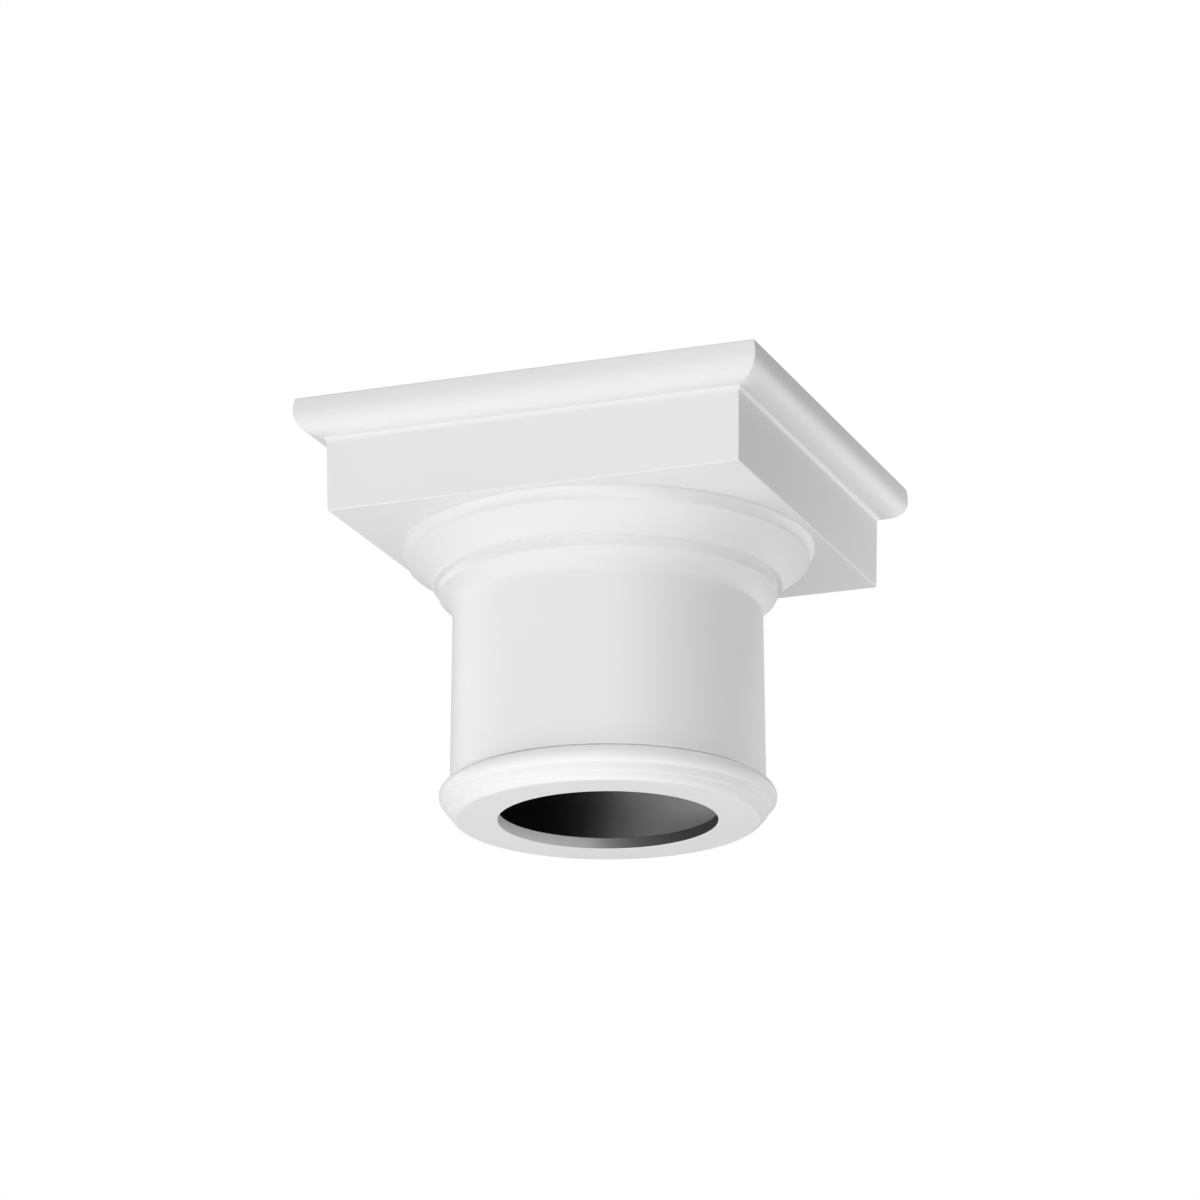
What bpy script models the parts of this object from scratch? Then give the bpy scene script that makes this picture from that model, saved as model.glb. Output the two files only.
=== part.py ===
"""A moulded column capital: square abacus, turned echinus, short neck and astragal, hollow from below.

Metres, +Z up. The origin is the middle of the underside, on the axis that the round mouldings are
turned about. The abacus faces look along the X and Y axes. The whole capital is one casting.

Radii are chained outwards from the neck and heights are stacked upwards from the underside, so a
change of one size carries every moulding above it or outside it along.
"""
import math

import bmesh
import bpy

# Neck: the short length of shaft, very slightly wider at its foot
NECK_RADIUS = 0.10990
NECK_FLARE = 0.00095
NECK_HEIGHT = 0.12403

# Cove that runs out of the neck's head up to the annulet
COVE_PROJECTION = 0.0100
COVE_RISE = 0.0151
COVE_RADIUS = 0.0090
COVE_TURN = math.radians(24)

# Annulet: the upright fillet in the recess under the echinus
ANNULET_HEIGHT = 0.0070
LEDGE_WIDTH = 0.0042

# Echinus: a small upright nosing, then a broad splay, hollowed very slightly
NOSING_HEIGHT = 0.0013
SPLAY_PROJECTION = 0.0183
SPLAY_RISE = 0.0176
SPLAY_HOLLOW = 0.0012

# Band between the echinus and the abacus: a small roll, a hollow over it and a fillet at its head
BAND_STEP = 0.0009
BAND_ROLL = 0.0014
BAND_PROJECTION = 0.0034
BAND_RISE = 0.0070
BAND_HOLLOW = 0.0006
BAND_HEAD = 0.0012

# Abacus: the plain square block
SOFFIT_MARGIN = 0.0047
FASCIA_HEIGHT = 0.0491
FASCIA_DRAFT = 0.0009

# Crown moulding around the abacus: a small cavetto at the fascia's head, a fillet, and an ovolo that
# turns upright at its widest and leans back a little to the top edge
CAVETTO_PROJECTION = 0.0018
CAVETTO_RISE = 0.0035
CROWN_FILLET = 0.0011
CROWN_LEDGE = 0.0014
CROWN_RADIUS = 0.0150
CROWN_SHOULDER = 0.0102
CROWN_LEAN = 0.0010
CROWN_SWELL = 0.00025

# Quirk: the narrow groove where the astragal meets the foot of the neck
QUIRK_HEIGHT = 0.0016
QUIRK_DEPTH = 0.0020

# Astragal: a bead, a step and a splayed foot
BEAD_RADIUS = 0.0065
BEAD_SETBACK = 0.00115
BEAD_UNDERCUT = math.radians(55.7)
STEP_LEDGE = 0.0010
STEP_HEIGHT = 0.0056
STEP_BATTER = 0.0027
STEP_SWELL = 0.0003
FOOT_LEDGE = 0.0008
FOOT_HEIGHT = 0.0055
FOOT_SPLAY = 0.0052
FOOT_SWELL = 0.0007

# Hollow: a round mouth through a thin inward lip, then a wider well that stops under the top
RIM_WIDTH = 0.0288
LIP_HEIGHT = 0.0085
NECK_WALL = 0.0140
TOP_THICKNESS = 0.0300

# How finely the curves are cut up
TURNED_FACETS = 80
BEAD_FACETS = 9
CROWN_FACETS = 9
ARC_FACETS = 4
HOLLOW_FACETS = 3

# Construction lengths that leave no mark on the finished solid
MOUTH_OVERRUN = 0.0100


def point_on(centre, radius, angle):
    """The point of a circle in the (radius, height) plane at an angle measured up from outwards."""
    return (centre[0] + radius * math.cos(angle), centre[1] + radius * math.sin(angle))


def arc(centre, radius, first, last, facets):
    """Points along a circle from one angle to another, both ends included."""
    return [point_on(centre, radius, first + (last - first) * i / facets) for i in range(facets + 1)]


def bowed(start, end, bow, facets):
    """Points after start, up to end, along an arc that stands bow to the right of the way there."""
    run, rise = end[0] - start[0], end[1] - start[1]
    chord = math.hypot(run, rise)
    points = []
    for i in range(1, facets + 1):
        share = i / facets
        lift = 4 * bow * share * (1 - share) / chord
        points.append((start[0] + run * share + rise * lift, start[1] + rise * share - run * lift))
    return points


def onward_hollow(start, end, lean):
    """How deep the hollow from start to end is if it carries on from a curve that leans so far."""
    run, rise = end[0] - start[0], end[1] - start[1]
    return math.hypot(run, rise) * math.tan(math.atan2(run, rise) - lean) / 4


def astragal_outline():
    """Underside edge, splayed foot, step, bead and quirk: (radius, height) from the bottom upwards."""
    neck_foot = NECK_RADIUS + NECK_FLARE
    bead_centre = (
        neck_foot + BEAD_SETBACK,
        FOOT_HEIGHT + STEP_HEIGHT + BEAD_RADIUS * math.sin(BEAD_UNDERCUT),
    )
    bead = arc(bead_centre, BEAD_RADIUS, -BEAD_UNDERCUT, math.pi / 2, BEAD_FACETS)
    step_head = (bead[0][0] - STEP_LEDGE, bead[0][1])
    step_foot = (step_head[0] - STEP_BATTER, FOOT_HEIGHT)
    foot_head = (step_foot[0] - FOOT_LEDGE, FOOT_HEIGHT)
    underside_edge = (foot_head[0] - FOOT_SPLAY, 0.0)

    outline = [underside_edge]
    outline += bowed(underside_edge, foot_head, FOOT_SWELL, HOLLOW_FACETS)
    outline.append(step_foot)
    outline += bowed(step_foot, step_head, STEP_SWELL, HOLLOW_FACETS)
    outline += bead
    bead_top = bead[-1][1]
    quirk_bottom = neck_foot - QUIRK_DEPTH
    outline.append((quirk_bottom, bead_top))
    outline.append((quirk_bottom, bead_top + QUIRK_HEIGHT))
    outline.append((neck_foot, bead_top + QUIRK_HEIGHT))
    return outline


def echinus_outline(neck_top):
    """Cove, annulet, nosing, splay and band: (radius, height) upwards from the neck's top."""
    cove_centre = (NECK_RADIUS + COVE_RADIUS, neck_top)
    outline = arc(cove_centre, COVE_RADIUS, math.pi, math.pi - COVE_TURN, HOLLOW_FACETS)
    annulet_foot = (NECK_RADIUS + COVE_PROJECTION, neck_top + COVE_RISE)
    cove_hollow = onward_hollow(outline[-1], annulet_foot, COVE_TURN)
    outline += bowed(outline[-1], annulet_foot, -cove_hollow, ARC_FACETS)
    annulet_head = (annulet_foot[0], annulet_foot[1] + ANNULET_HEIGHT)
    outline.append(annulet_head)

    nosing_foot = (annulet_head[0] + LEDGE_WIDTH, annulet_head[1])
    splay_foot = (nosing_foot[0], nosing_foot[1] + NOSING_HEIGHT)
    splay_head = (splay_foot[0] + SPLAY_PROJECTION, splay_foot[1] + SPLAY_RISE)
    outline += [nosing_foot, splay_foot]
    outline += bowed(splay_foot, splay_head, -SPLAY_HOLLOW, ARC_FACETS)

    roll_foot = (splay_head[0] + BAND_STEP, splay_head[1])
    roll_head = (roll_foot[0], roll_foot[1] + BAND_ROLL)
    fillet_foot = (roll_head[0] + BAND_PROJECTION, roll_head[1] + BAND_RISE)
    outline += [roll_foot, roll_head]
    outline += bowed(roll_head, fillet_foot, -BAND_HOLLOW, ARC_FACETS)
    outline.append((fillet_foot[0], fillet_foot[1] + BAND_HEAD))
    return outline


def abacus_outline(soffit, fascia_foot):
    """Fascia, cavetto and crown ovolo: (half width, height) from the soffit up to the top edge."""
    fascia_head = (fascia_foot + FASCIA_DRAFT, soffit + FASCIA_HEIGHT)
    cavetto_turn = 2 * math.atan2(CAVETTO_PROJECTION, CAVETTO_RISE)
    cavetto_radius = CAVETTO_RISE / math.sin(cavetto_turn)
    cavetto_centre = (fascia_head[0] + cavetto_radius, fascia_head[1])
    outline = [(fascia_foot, soffit)]
    outline += arc(cavetto_centre, cavetto_radius, math.pi, math.pi - cavetto_turn, HOLLOW_FACETS)

    fillet_head = (outline[-1][0], outline[-1][1] + CROWN_FILLET)
    ovolo_centre = (fillet_head[0] + CROWN_LEDGE, fillet_head[1] + CROWN_RADIUS)
    outline.append(fillet_head)
    outline += arc(ovolo_centre, CROWN_RADIUS, -math.pi / 2, 0.0, CROWN_FACETS)

    widest = outline[-1]
    top_edge = (widest[0] - CROWN_LEAN, widest[1] + CROWN_SHOULDER)
    outline += bowed(widest, top_edge, CROWN_SWELL, HOLLOW_FACETS)
    return outline


def turned_solid(name, outline, facets, first_angle=0.0):
    """Turns an open outline, bottom to top, about the Z axis and closes it with flat ends."""
    closed = [(0.0, outline[0][1])] + outline + [(0.0, outline[-1][1])]
    mesh = bmesh.new()
    cos_first, sin_first = math.cos(first_angle), math.sin(first_angle)
    line = [mesh.verts.new((radius * cos_first, radius * sin_first, z)) for radius, z in closed]
    edges = [mesh.edges.new(pair) for pair in zip(line, line[1:])]
    bmesh.ops.spin(
        mesh, geom=line + edges, cent=(0, 0, 0), axis=(0, 0, 1),
        angle=2 * math.pi, steps=facets, use_merge=True,
    )
    bmesh.ops.remove_doubles(mesh, verts=mesh.verts, dist=1e-6)
    bmesh.ops.recalc_face_normals(mesh, faces=mesh.faces)
    data = bpy.data.meshes.new(name)
    mesh.to_mesh(data)
    mesh.free()
    solid = bpy.data.objects.new(name, data)
    bpy.context.collection.objects.link(solid)
    return solid


def square_solid(name, outline):
    """The same outline run round a square plan with mitred corners: a turn of four facets."""
    to_corner = math.sqrt(2)
    corners = [(half_width * to_corner, z) for half_width, z in outline]
    return turned_solid(name, corners, 4, first_angle=math.pi / 4)


def combine(solid, other, operation):
    """Joins another solid to this one or cuts it away. The other one stays as a guide only."""
    modifier = solid.modifiers.new(other.name, "BOOLEAN")
    modifier.operation = operation
    modifier.solver = "EXACT"
    modifier.object = other
    other.hide_render = True
    other.display_type = "WIRE"


def white_primed_finish():
    material = bpy.data.materials.new("white_primed_moulding")
    material.use_nodes = True
    shader = material.node_tree.nodes["Principled BSDF"]
    shader.inputs["Base Color"].default_value = (0.86, 0.86, 0.85, 1.0)
    shader.inputs["Roughness"].default_value = 0.55
    shader.inputs["Metallic"].default_value = 0.0
    return material


def build_capital():
    astragal = astragal_outline()
    neck_top = astragal[-1][1] + NECK_HEIGHT
    echinus = echinus_outline(neck_top)
    band_radius, soffit = echinus[-1]
    inside_abacus = (band_radius, soffit + FASCIA_HEIGHT / 2)
    abacus = abacus_outline(soffit, band_radius + SOFFIT_MARGIN)
    height = abacus[-1][1]

    mouth_radius = astragal[0][0] - RIM_WIDTH
    well_radius = NECK_RADIUS - NECK_WALL
    well_top = height - TOP_THICKNESS
    hollow = [
        (mouth_radius, -MOUTH_OVERRUN),
        (mouth_radius, LIP_HEIGHT),
        (well_radius, LIP_HEIGHT),
        (well_radius, well_top),
    ]

    capital = square_solid("capital", abacus)
    round_part = turned_solid("round_part", astragal + echinus + [inside_abacus], TURNED_FACETS)
    hollow_cutter = turned_solid("hollow_cutter", hollow, TURNED_FACETS)
    combine(capital, round_part, "UNION")
    combine(capital, hollow_cutter, "DIFFERENCE")
    capital.data.materials.append(white_primed_finish())
    return capital


for leftover in list(bpy.data.objects):
    bpy.data.objects.remove(leftover)
build_capital()
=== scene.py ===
"""The white moulded column capital, seen from below in a plain pale studio."""
import math

import bmesh
import bpy
from mathutils import Matrix, Vector


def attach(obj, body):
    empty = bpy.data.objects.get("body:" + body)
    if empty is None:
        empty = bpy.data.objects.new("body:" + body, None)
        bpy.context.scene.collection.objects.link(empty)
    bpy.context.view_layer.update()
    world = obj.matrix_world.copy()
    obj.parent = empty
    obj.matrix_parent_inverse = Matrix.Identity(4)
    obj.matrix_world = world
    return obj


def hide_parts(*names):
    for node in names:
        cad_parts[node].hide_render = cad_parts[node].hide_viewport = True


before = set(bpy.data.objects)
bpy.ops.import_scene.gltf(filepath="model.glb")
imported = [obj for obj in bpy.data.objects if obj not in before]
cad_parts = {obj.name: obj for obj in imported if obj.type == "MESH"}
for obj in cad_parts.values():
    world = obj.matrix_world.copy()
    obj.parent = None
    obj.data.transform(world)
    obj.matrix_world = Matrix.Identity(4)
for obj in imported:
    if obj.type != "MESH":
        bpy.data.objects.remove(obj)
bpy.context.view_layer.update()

# The foot of the capital: a splayed edge and a fine battered step above it, cast in one with all
# that follows. It and the mouldings over it are one outline that is turned about the upright axis.
# Each entry of that outline is (radius, height, rounding of the arris there), in metres.
NECK_FOOT = 0.11085
BEAD_RADIUS = 0.0065
BEAD_SETBACK = 0.00115
BEAD_UNDERCUT = math.radians(55.7)
STEP_LEDGE = 0.0010
STEP_HEIGHT = 0.0056
STEP_BATTER = 0.0027
STEP_SWELL = 0.0003
FOOT_LEDGE = 0.0008
FOOT_HEIGHT = 0.0055
FOOT_SPLAY = 0.0052
FOOT_SWELL = 0.0007
FOOT_COUNT = 6
STEP_COUNT = 4
FINE_ARRIS = 0.0003
FOOT_ARRIS = 0.0006


def bowed_line(start, end, bow, count, arris=0.0):
    """Outline entries after start, up to end, along a line bowed outwards by that much."""
    way = Vector(end) - Vector(start)
    outwards = Vector((way.y, -way.x)).normalized()
    entries = []
    for i in range(1, count + 1):
        share = i / count
        point = Vector(start) + way * share + outwards * 4 * bow * share * (1 - share)
        entries.append((point.x, point.y, arris if i == count else 0.0))
    return entries


def arc_line(centre, radius, first, last, count):
    """Outline entries along an arc, both ends included, by angles measured up from outwards."""
    entries = []
    for i in range(count + 1):
        angle = first + (last - first) * i / count
        entries.append((centre[0] + radius * math.cos(angle), centre[1] + radius * math.sin(angle), 0.0))
    return entries


bead_centre = (
    NECK_FOOT + BEAD_SETBACK,
    FOOT_HEIGHT + STEP_HEIGHT + BEAD_RADIUS * math.sin(BEAD_UNDERCUT),
)
bead_foot = (
    bead_centre[0] + BEAD_RADIUS * math.cos(BEAD_UNDERCUT),
    FOOT_HEIGHT + STEP_HEIGHT,
)
step_head = (bead_foot[0] - STEP_LEDGE, bead_foot[1])
step_foot = (step_head[0] - STEP_BATTER, FOOT_HEIGHT)
foot_head = (step_foot[0] - FOOT_LEDGE, FOOT_HEIGHT)
underside_edge = (foot_head[0] - FOOT_SPLAY, 0.0)

turned_outline = [(*underside_edge, FOOT_ARRIS)]
turned_outline += bowed_line(underside_edge, foot_head, FOOT_SWELL, FOOT_COUNT, FINE_ARRIS)
turned_outline.append((*step_foot, FINE_ARRIS))
turned_outline += bowed_line(step_foot, step_head, STEP_SWELL, STEP_COUNT, FINE_ARRIS)

# The astragal: a round bead over the step, the ring that marks where a shaft ends. A narrow quirk,
# a dark groove in the same casting, parts it from the neck.
QUIRK_HEIGHT = 0.0016
QUIRK_DEPTH = 0.0020
BEAD_COUNT = 26
QUIRK_ARRIS = 0.0002

bead = arc_line(bead_centre, BEAD_RADIUS, -BEAD_UNDERCUT, math.pi / 2, BEAD_COUNT)
bead[0] = (*bead_foot, FINE_ARRIS)
bead_top = bead[-1][1]
turned_outline += bead
turned_outline.append((NECK_FOOT - QUIRK_DEPTH, bead_top, 0.0))
turned_outline.append((NECK_FOOT - QUIRK_DEPTH, bead_top + QUIRK_HEIGHT, 0.0))
turned_outline.append((NECK_FOOT, bead_top + QUIRK_HEIGHT, QUIRK_ARRIS))

# The neck and the cove: a plain short length of shaft that tapers a hair upwards and then sweeps
# out under the annulet, a narrow upright ring, in one soft hollow.
NECK_RADIUS = 0.10990
NECK_HEIGHT = 0.12403
COVE_PROJECTION = 0.0100
COVE_RISE = 0.0151
COVE_RADIUS = 0.0090
COVE_TURN = math.radians(24)
COVE_COUNT = 10
ANNULET_HEIGHT = 0.0070
ANNULET_ARRIS = 0.0005


def onward_hollow(start, end, lean):
    """How deep the hollow from start to end is if it carries on from a curve that leans so far."""
    run, rise = end[0] - start[0], end[1] - start[1]
    return math.hypot(run, rise) * math.tan(math.atan2(run, rise) - lean) / 4


neck_top = bead_top + QUIRK_HEIGHT + NECK_HEIGHT
cove_centre = (NECK_RADIUS + COVE_RADIUS, neck_top)
cove = arc_line(cove_centre, COVE_RADIUS, math.pi, math.pi - COVE_TURN, COVE_COUNT)
cove_bend = cove[-1][:2]
annulet_foot = (NECK_RADIUS + COVE_PROJECTION, neck_top + COVE_RISE)
annulet_head = (annulet_foot[0], annulet_foot[1] + ANNULET_HEIGHT)
cove_hollow = onward_hollow(cove_bend, annulet_foot, COVE_TURN)
turned_outline += cove
turned_outline += bowed_line(cove_bend, annulet_foot, -cove_hollow, COVE_COUNT, ANNULET_ARRIS)
turned_outline.append((*annulet_head, ANNULET_ARRIS))

# The echinus: a small nosing over a ledge, a broad splay that is hollowed very slightly, and over it
# a fine roll, a small hollow and a fillet that meets the underside of the abacus.
LEDGE_WIDTH = 0.0042
NOSING_HEIGHT = 0.0013
NOSING_ARRIS = 0.0008
SPLAY_PROJECTION = 0.0183
SPLAY_RISE = 0.0176
SPLAY_HOLLOW = 0.0012
SPLAY_COUNT = 10
BAND_STEP = 0.0009
BAND_ROLL = 0.0014
BAND_PROJECTION = 0.0034
BAND_RISE = 0.0070
BAND_HOLLOW = 0.0006
BAND_HEAD = 0.0012
BAND_COUNT = 10
ROLL_ARRIS = 0.0006

nosing_foot = (annulet_head[0] + LEDGE_WIDTH, annulet_head[1])
splay_foot = (nosing_foot[0], nosing_foot[1] + NOSING_HEIGHT)
splay_head = (splay_foot[0] + SPLAY_PROJECTION, splay_foot[1] + SPLAY_RISE)
roll_foot = (splay_head[0] + BAND_STEP, splay_head[1])
roll_head = (roll_foot[0], roll_foot[1] + BAND_ROLL)
fillet_foot = (roll_head[0] + BAND_PROJECTION, roll_head[1] + BAND_RISE)
band_head = (fillet_foot[0], fillet_foot[1] + BAND_HEAD)
turned_outline.append((*nosing_foot, NOSING_ARRIS))
turned_outline.append((*splay_foot, FINE_ARRIS))
turned_outline += bowed_line(splay_foot, splay_head, -SPLAY_HOLLOW, SPLAY_COUNT, FINE_ARRIS)
turned_outline.append((*roll_foot, ROLL_ARRIS))
turned_outline.append((*roll_head, 0.0))
turned_outline += bowed_line(roll_head, fillet_foot, -BAND_HOLLOW, BAND_COUNT, FINE_ARRIS)
turned_outline.append((*band_head, 0.0))
soffit = band_head[1]

# The abacus: a plain square block, its fascia leaning out a hair, under a crown. A small cavetto and
# a fillet carry the crown's ovolo, which turns upright and leans back to the top edge. Its outline is
# turned in four steps, which gives the square with its mitred corners.
SOFFIT_MARGIN = 0.0047
FASCIA_HEIGHT = 0.0491
FASCIA_DRAFT = 0.0009
CAVETTO_PROJECTION = 0.0018
CAVETTO_RISE = 0.0035
CAVETTO_COUNT = 10
CROWN_FILLET = 0.0011
CROWN_LEDGE = 0.0014
CROWN_RADIUS = 0.0150
CROWN_SHOULDER = 0.0102
CROWN_LEAN = 0.0010
CROWN_SWELL = 0.00025
CROWN_COUNT = 28
SHOULDER_COUNT = 8
ABACUS_ARRIS = 0.0009
CORNER_ARRIS = 0.0007
ABACUS_SIDES = 4
ARRIS_SEGMENTS = 4
CORNER_SEGMENTS = 3
MERGE_DISTANCE = 2e-6
SAME_QUADRANT = 0.0001


def outline_mesh(outline):
    """A bmesh that holds an outline as a wire in the XZ plane, with its arrises rounded."""
    wire = bmesh.new()
    points = [wire.verts.new((radius, 0, height)) for radius, height, arris in outline]
    for lower, upper in zip(points, points[1:]):
        wire.edges.new((lower, upper))
    for point, (radius, height, arris) in zip(points, outline):
        if arris:
            bmesh.ops.bevel(
                wire, geom=[point], affect="VERTICES", offset=arris,
                segments=ARRIS_SEGMENTS, profile=0.5, material=-1,
            )
    return wire


def turn_about_axis(mesh, steps):
    """Turns a wire about the Z axis into a closed skin that faces outwards."""
    bmesh.ops.spin(
        mesh, geom=mesh.verts[:] + mesh.edges[:], cent=(0, 0, 0), axis=(0, 0, 1),
        angle=2 * math.pi, steps=steps, use_merge=True,
    )
    bmesh.ops.remove_doubles(mesh, verts=mesh.verts, dist=MERGE_DISTANCE)
    bmesh.ops.recalc_face_normals(mesh, faces=mesh.faces)


def new_object(name, mesh):
    """Puts a finished bmesh into the scene under that name."""
    data = bpy.data.meshes.new(name)
    mesh.to_mesh(data)
    mesh.free()
    solid = bpy.data.objects.new(name, data)
    bpy.context.collection.objects.link(solid)
    return solid


fascia_foot = band_head[0] + SOFFIT_MARGIN
fascia_head = (fascia_foot + FASCIA_DRAFT, soffit + FASCIA_HEIGHT)
cavetto_turn = 2 * math.atan2(CAVETTO_PROJECTION, CAVETTO_RISE)
cavetto_radius = CAVETTO_RISE / math.sin(cavetto_turn)
cavetto_centre = (fascia_head[0] + cavetto_radius, fascia_head[1])
cavetto = arc_line(cavetto_centre, cavetto_radius, math.pi, math.pi - cavetto_turn, CAVETTO_COUNT)
cavetto[-1] = (*cavetto[-1][:2], FINE_ARRIS)
crown_fillet_head = (cavetto[-1][0], cavetto[-1][1] + CROWN_FILLET)
ovolo_centre = (crown_fillet_head[0] + CROWN_LEDGE, crown_fillet_head[1] + CROWN_RADIUS)
crown_widest = (ovolo_centre[0] + CROWN_RADIUS, ovolo_centre[1])
crown_top = (crown_widest[0] - CROWN_LEAN, crown_widest[1] + CROWN_SHOULDER)

abacus_outline = [(0.0, soffit, 0.0), (fascia_foot, soffit, ABACUS_ARRIS)]
abacus_outline += cavetto
abacus_outline.append((*crown_fillet_head, 0.0))
abacus_outline += arc_line(ovolo_centre, CROWN_RADIUS, -math.pi / 2, 0.0, CROWN_COUNT)
abacus_outline += bowed_line(crown_widest, crown_top, CROWN_SWELL, SHOULDER_COUNT, ABACUS_ARRIS)
abacus_outline.append((0.0, crown_top[1], 0.0))

abacus_mesh = outline_mesh(abacus_outline)
corner_reach = 1 / math.cos(math.pi / ABACUS_SIDES)
bmesh.ops.scale(abacus_mesh, vec=(corner_reach, 1, 1), verts=abacus_mesh.verts)
to_corner = Matrix.Rotation(math.pi / ABACUS_SIDES, 3, "Z")
bmesh.ops.rotate(abacus_mesh, matrix=to_corner, verts=abacus_mesh.verts)
turn_about_axis(abacus_mesh, ABACUS_SIDES)
mitres = []
for edge in abacus_mesh.edges:
    lower, upper = (vertex.co for vertex in edge.verts)
    if lower.x * upper.x > SAME_QUADRANT and lower.y * upper.y > SAME_QUADRANT:
        mitres.append(edge)
bmesh.ops.bevel(
    abacus_mesh, geom=mitres, affect="EDGES", offset=CORNER_ARRIS,
    segments=CORNER_SEGMENTS, profile=0.5, material=-1,
)
capital = new_object("capital_casting", abacus_mesh)

# The hollow: the casting is open from below through a round mouth in a thin inward lip, and wider
# inside, where the head of a post stands. It is closed under the top. The cutter widens below the
# rounded edge of the mouth, so that it has no face in the plane of the underside.
RIM_WIDTH = 0.0288
LIP_HEIGHT = 0.0085
NECK_WALL = 0.0140
TOP_THICKNESS = 0.0300
MOUTH_ARRIS = 0.0007
MOUTH_OVERRUN = 0.0050
TURN_STEPS = 256

mouth_radius = underside_edge[0] - RIM_WIDTH
well_radius = NECK_RADIUS - NECK_WALL
well_top = crown_top[1] - TOP_THICKNESS
mouth_edge = (mouth_radius + MOUTH_ARRIS, MOUTH_ARRIS)
hollow_outline = [
    (0.0, -MOUTH_OVERRUN, 0.0),
    (mouth_edge[0] + MOUTH_OVERRUN, -MOUTH_OVERRUN, 0.0),
    *arc_line(mouth_edge, MOUTH_ARRIS, -math.pi / 2, -math.pi, ARRIS_SEGMENTS),
    (mouth_radius, LIP_HEIGHT, MOUTH_ARRIS),
    (well_radius, LIP_HEIGHT, MOUTH_ARRIS),
    (well_radius, well_top, 0.0),
    (0.0, well_top, 0.0),
]
hollow_mesh = outline_mesh(hollow_outline)
turn_about_axis(hollow_mesh, TURN_STEPS)
hollow_cutter = new_object("hollow_cutter", hollow_mesh)

# The casting: the turned mouldings run up into the block of the abacus, and the hollow is cut out
# of both, so the capital is one skin in one piece, as it leaves its mould. Its seams are merged.
SMOOTH_ANGLE = math.radians(32)

turned_top = soffit + FASCIA_HEIGHT / 2
closed_outline = [(0.0, 0.0, 0.0)] + turned_outline
closed_outline.append((band_head[0], turned_top, 0.0))
closed_outline.append((0.0, turned_top, 0.0))
turned_mesh = outline_mesh(closed_outline)
turn_about_axis(turned_mesh, TURN_STEPS)
turned_mouldings = new_object("turned_mouldings", turned_mesh)

for other, operation in ((turned_mouldings, "UNION"), (hollow_cutter, "DIFFERENCE")):
    joint = capital.modifiers.new(other.name, "BOOLEAN")
    joint.operation = operation
    joint.solver = "EXACT"
    joint.object = other
bpy.context.view_layer.update()
cut_capital = capital.evaluated_get(bpy.context.evaluated_depsgraph_get())
joined = bpy.data.meshes.new_from_object(cut_capital)
seams = bmesh.new()
seams.from_mesh(joined)
bmesh.ops.remove_doubles(seams, verts=seams.verts, dist=MERGE_DISTANCE)
seams.to_mesh(joined)
seams.free()
capital.modifiers.clear()
capital.data = joined
joined.name = "capital_casting"
for cutter in (turned_mouldings, hollow_cutter):
    bpy.data.objects.remove(cutter)
joined.polygons.foreach_set("use_smooth", [True] * len(joined.polygons))
joined.set_sharp_from_angle(angle=SMOOTH_ANGLE)
weighting = capital.modifiers.new("face_weighting", "WEIGHTED_NORMAL")
weighting.keep_sharp = True

# The white finish: a sprayed satin primer over the smooth casting, with a very faint orange peel
# and the least drift of tone.
PRIMER_WHITE = (0.86, 0.86, 0.86, 1.0)
PRIMER_SHADE = (0.84, 0.84, 0.84, 1.0)
PRIMER_ROUGHNESS = (0.50, 0.58)
CLOUD_SCALE = 14.0
CLOUD_DETAIL = 3.0
PEEL_SCALE = 1100.0
PEEL_DETAIL = 2.0
PEEL_STRENGTH = 0.06
PEEL_HEIGHT = 0.0003

primer = bpy.data.materials.new("sprayed_white_primer")
primer.use_nodes = True
nodes = primer.node_tree.nodes
links = primer.node_tree.links
coat = nodes["Principled BSDF"]
place = nodes.new("ShaderNodeTexCoord")
clouds = nodes.new("ShaderNodeTexNoise")
clouds.inputs["Scale"].default_value = CLOUD_SCALE
clouds.inputs["Detail"].default_value = CLOUD_DETAIL
tone = nodes.new("ShaderNodeMix")
tone.data_type = "RGBA"
tone.inputs["A"].default_value = PRIMER_SHADE
tone.inputs["B"].default_value = PRIMER_WHITE
sheen_range = nodes.new("ShaderNodeMapRange")
sheen_range.inputs["To Min"].default_value = PRIMER_ROUGHNESS[0]
sheen_range.inputs["To Max"].default_value = PRIMER_ROUGHNESS[1]
peel = nodes.new("ShaderNodeTexNoise")
peel.inputs["Scale"].default_value = PEEL_SCALE
peel.inputs["Detail"].default_value = PEEL_DETAIL
relief = nodes.new("ShaderNodeBump")
relief.inputs["Strength"].default_value = PEEL_STRENGTH
relief.inputs["Distance"].default_value = PEEL_HEIGHT
links.new(place.outputs["Object"], clouds.inputs["Vector"])
links.new(place.outputs["Object"], peel.inputs["Vector"])
links.new(clouds.outputs["Fac"], tone.inputs["Factor"])
links.new(tone.outputs["Result"], coat.inputs["Base Color"])
links.new(clouds.outputs["Fac"], sheen_range.inputs["Value"])
links.new(sheen_range.outputs["Result"], coat.inputs["Roughness"])
links.new(peel.outputs["Fac"], relief.inputs["Height"])
links.new(relief.outputs["Normal"], coat.inputs["Normal"])

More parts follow.
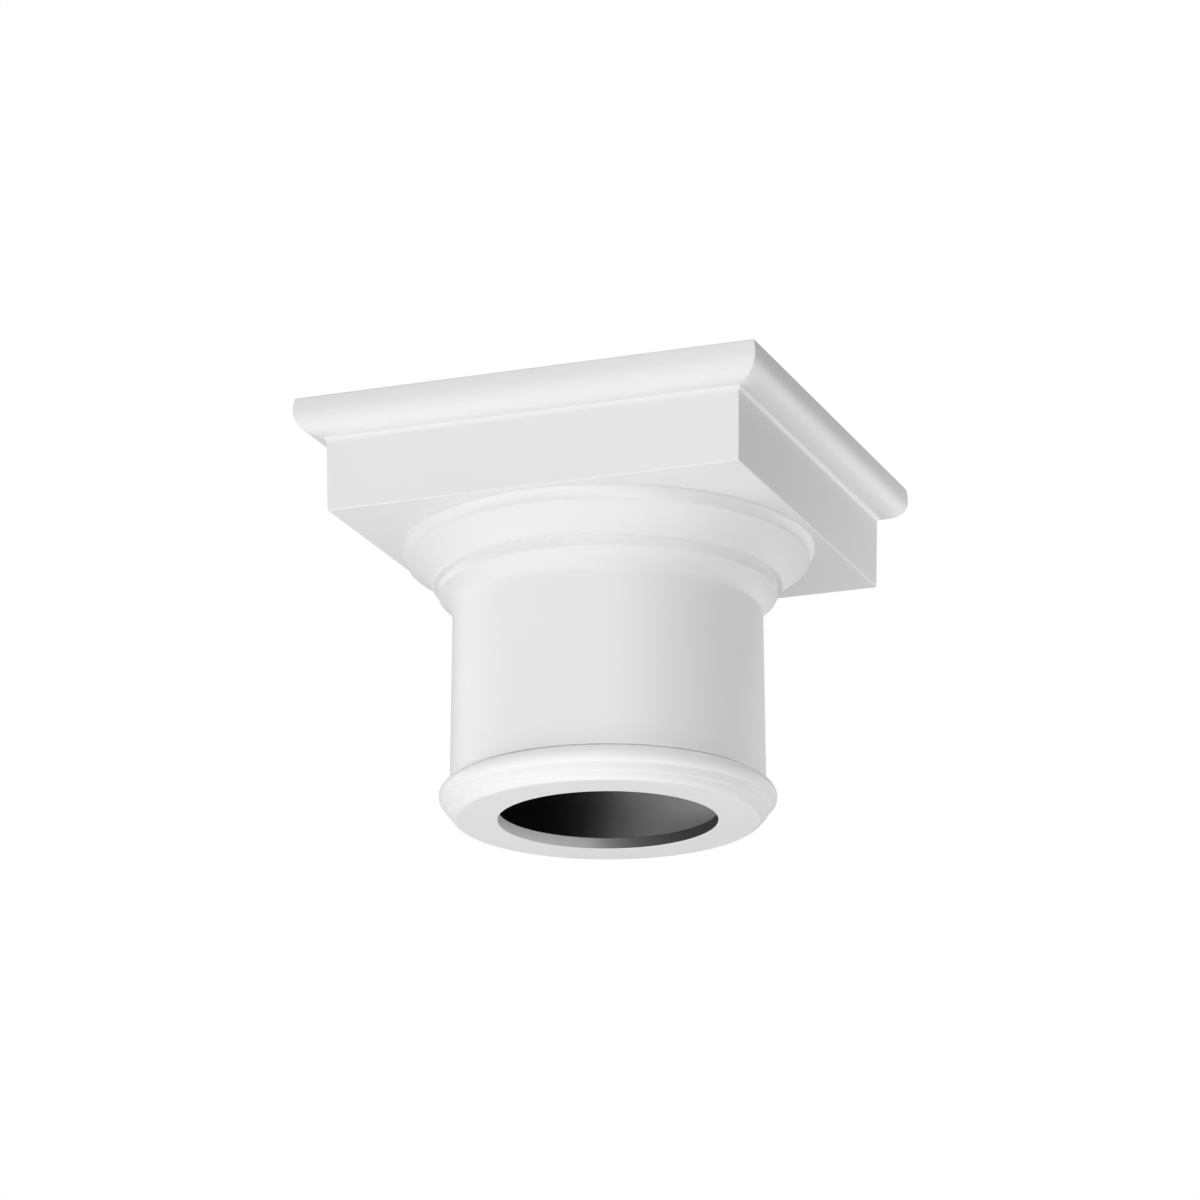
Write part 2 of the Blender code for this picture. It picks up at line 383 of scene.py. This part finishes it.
# The inside: the well wall is a dull rough grey with painted light and shade across the mouth, nearly
# black as painted shade on one side and a lighter grey as painted light on the other. Over the lip the
# painted light and shade runs the opposite way, from white to dark. Each list of tones holds (share of
# the way across the fade, grey).
# The heading across the mouth along which the painted light and shade changes.
LIGHT_AND_SHADE_HEADING = math.radians(20.72)
RAW_ROUGHNESS = 0.8
RAW_SPECULAR = 0.2
DRIFT_SCALE = 30.0
DRIFT_DETAIL = 4.0
DRIFT_WIDTH = 0.006
GRIT_SCALE = 400.0
GRIT_STRENGTH = 0.3
GRIT_HEIGHT = 0.0005
# The well's tones: painted shade, near black, on one side and painted light, up to a pale grey, on the
# other.
WELL_FADE = (-0.045, 0.045)
WELL_TONES = ((0.0, 0.001), (0.30, 0.045), (0.50, 0.205), (0.72, 0.660), (1.0, 0.800))
# The lip's tones: painted light, whiter than the primer, on one side and painted shade, near black, on
# the other.
LIP_FADE = (-0.045, 0.055)
LIP_TONES = ((0.0, 0.950), (0.30, 0.820), (0.45, 0.340), (0.65, 0.150), (1.0, 0.050))


def painted_light_and_shade_finish(name, fade, tones):
    """A dull rough material whose grey, painted light and shade, changes across the mouth between two
    distances from its axis.
    """
    finish = bpy.data.materials.new(name)
    finish.use_nodes = True
    nodes = finish.node_tree.nodes
    links = finish.node_tree.links
    wall = nodes["Principled BSDF"]
    wall.inputs["Roughness"].default_value = RAW_ROUGHNESS
    wall.inputs["Specular IOR Level"].default_value = RAW_SPECULAR
    place = nodes.new("ShaderNodeTexCoord")
    across = nodes.new("ShaderNodeVectorMath")
    across.operation = "DOT_PRODUCT"
    across.inputs[1].default_value = (math.cos(LIGHT_AND_SHADE_HEADING), math.sin(LIGHT_AND_SHADE_HEADING), 0)
    drift = nodes.new("ShaderNodeTexNoise")
    drift.inputs["Scale"].default_value = DRIFT_SCALE
    drift.inputs["Detail"].default_value = DRIFT_DETAIL
    drifted = nodes.new("ShaderNodeMath")
    drifted.operation = "MULTIPLY_ADD"
    drifted.inputs[1].default_value = DRIFT_WIDTH
    spread = nodes.new("ShaderNodeMapRange")
    spread.inputs["From Min"].default_value = fade[0] + DRIFT_WIDTH / 2
    spread.inputs["From Max"].default_value = fade[1] + DRIFT_WIDTH / 2
    greys = nodes.new("ShaderNodeValToRGB")
    greys.color_ramp.interpolation = "B_SPLINE"
    while len(greys.color_ramp.elements) < len(tones):
        greys.color_ramp.elements.new(0.5)
    for element, (position, grey) in zip(greys.color_ramp.elements, tones):
        element.position = position
        element.color = (grey, grey, grey, 1)
    grit = nodes.new("ShaderNodeTexNoise")
    grit.inputs["Scale"].default_value = GRIT_SCALE
    grit_relief = nodes.new("ShaderNodeBump")
    grit_relief.inputs["Strength"].default_value = GRIT_STRENGTH
    grit_relief.inputs["Distance"].default_value = GRIT_HEIGHT
    links.new(place.outputs["Object"], across.inputs[0])
    links.new(place.outputs["Object"], drift.inputs["Vector"])
    links.new(drift.outputs["Fac"], drifted.inputs[0])
    links.new(across.outputs["Value"], drifted.inputs[2])
    links.new(drifted.outputs["Value"], spread.inputs["Value"])
    links.new(spread.outputs["Result"], greys.inputs["Fac"])
    links.new(greys.outputs["Color"], wall.inputs["Base Color"])
    links.new(place.outputs["Object"], grit.inputs["Vector"])
    links.new(grit.outputs["Fac"], grit_relief.inputs["Height"])
    links.new(grit_relief.outputs["Normal"], wall.inputs["Normal"])
    return finish


PRIMER_SLOT = 0
WELL_SLOT = 1
LIP_SLOT = 2
FACE_SLACK = 0.0002

joined.materials.clear()
joined.materials.append(primer)
# The well wall and the lip carry painted light and shade in their greys.
joined.materials.append(painted_light_and_shade_finish("well_wall_painted_light_and_shade", WELL_FADE, WELL_TONES))
joined.materials.append(painted_light_and_shade_finish("lip_painted_light_and_shade", LIP_FADE, LIP_TONES))
for face in joined.polygons:
    radius = math.hypot(face.center.x, face.center.y)
    height = face.center.z
    in_well = LIP_HEIGHT - FACE_SLACK < height < well_top + FACE_SLACK
    in_mouth = MOUTH_ARRIS < height < LIP_HEIGHT
    if in_well and radius < well_radius + FACE_SLACK:
        face.material_index = WELL_SLOT
    elif in_mouth and radius < mouth_radius + FACE_SLACK:
        face.material_index = LIP_SLOT
    else:
        face.material_index = PRIMER_SLOT

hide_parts("capital")
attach(capital, "root")

# The studio: a pale floor well below the capital, which the picture looks up at, and a white
# surround that gives an even base light.
FLOOR_DROP = 1.6
FLOOR_SIZE = 40.0
FLOOR_COLOUR = (0.90, 0.90, 0.90, 1.0)
FLOOR_ROUGHNESS = 0.9
SURROUND_COLOUR = (1.0, 1.0, 1.0, 1.0)
SURROUND_SEEN = 1.0
SURROUND_LIGHT = 0.153

floor_mesh = bmesh.new()
bmesh.ops.create_grid(floor_mesh, x_segments=1, y_segments=1, size=FLOOR_SIZE / 2)
bmesh.ops.translate(floor_mesh, vec=(0, 0, -FLOOR_DROP), verts=floor_mesh.verts)
floor = new_object("studio_floor", floor_mesh)
floor_paint = bpy.data.materials.new("pale_floor")
floor_paint.use_nodes = True
floor_coat = floor_paint.node_tree.nodes["Principled BSDF"]
floor_coat.inputs["Base Color"].default_value = FLOOR_COLOUR
floor_coat.inputs["Roughness"].default_value = FLOOR_ROUGHNESS
floor.data.materials.append(floor_paint)

surround = bpy.data.worlds.new("white_surround")
bpy.context.scene.world = surround
surround.use_nodes = True
nodes = surround.node_tree.nodes
links = surround.node_tree.links
nodes.clear()
output = nodes.new("ShaderNodeOutputWorld")
mixer = nodes.new("ShaderNodeMixShader")
seen = nodes.new("ShaderNodeBackground")
seen.inputs["Color"].default_value = SURROUND_COLOUR
seen.inputs["Strength"].default_value = SURROUND_SEEN
base_light = nodes.new("ShaderNodeBackground")
base_light.inputs["Color"].default_value = SURROUND_COLOUR
base_light.inputs["Strength"].default_value = SURROUND_LIGHT
path = nodes.new("ShaderNodeLightPath")
links.new(path.outputs["Is Camera Ray"], mixer.inputs["Fac"])
links.new(base_light.outputs["Background"], mixer.inputs[1])
links.new(seen.outputs["Background"], mixer.inputs[2])
links.new(mixer.outputs["Shader"], output.inputs["Surface"])
bpy.context.scene.view_settings.view_transform = "Standard"

# The lights: soft square panels that face the capital. The large ones in front, on the left and below
# make those sides bright. The right side falls to a light grey, and two small panels lift its far end.
LIGHT_TARGET = Vector((0, 0, 0.14))
SOFT_PANELS = [
    # name, azimuth and elevation in degrees, distance and side in metres, watts
    ("far_left_panel", -99, 10, 2.5, 1.4, 19.8),
    ("low_left_panel", -59, -35, 1.4, 0.8, 5.4),
    ("high_left_panel", -39, 30, 2.5, 1.4, 4.7),
    ("front_panel", 21, 0, 2.5, 1.4, 30.0),
    ("high_front_panel", 21, 50, 2.5, 1.4, 8.9),
    ("under_panel", 21, -80, 1.0, 0.9, 3.8),
    ("near_right_panel", 141, -5, 0.9, 0.5, 2.7),
    ("back_right_panel", 171, 10, 1.5, 0.8, 2.2),
]

for name, azimuth, elevation, distance, side, watts in SOFT_PANELS:
    panel = bpy.data.lights.new(name, "AREA")
    panel.shape = "SQUARE"
    panel.size = side
    panel.energy = watts
    holder = bpy.data.objects.new(name, panel)
    bpy.context.collection.objects.link(holder)
    across, up = math.radians(azimuth), math.radians(elevation)
    away = Vector((math.sin(across) * math.cos(up), -math.cos(across) * math.cos(up), math.sin(up)))
    holder.location = LIGHT_TARGET + away * distance
    holder.rotation_euler = away.to_track_quat("Z", "Y").to_euler()
    holder.visible_camera = False

# The camera: a long lens about a metre below the underside and some 3.6 metres away, about 20 degrees
# round to the right of the front face and looking up.
CAMERA_PLACE = (1.2845, -3.4116, -0.9903)
CAMERA_TURN = math.radians(20.72)
CAMERA_RISE = math.radians(17.54)
CAMERA_LENS = 162.0
SENSOR_WIDTH = 36.0

lens = bpy.data.cameras.new("long_lens")
lens.lens = CAMERA_LENS
lens.sensor_width = SENSOR_WIDTH
camera = bpy.data.objects.new("long_lens", lens)
bpy.context.collection.objects.link(camera)
camera.location = CAMERA_PLACE
camera.rotation_euler = (math.pi / 2 + CAMERA_RISE, 0, CAMERA_TURN)
bpy.context.scene.camera = camera
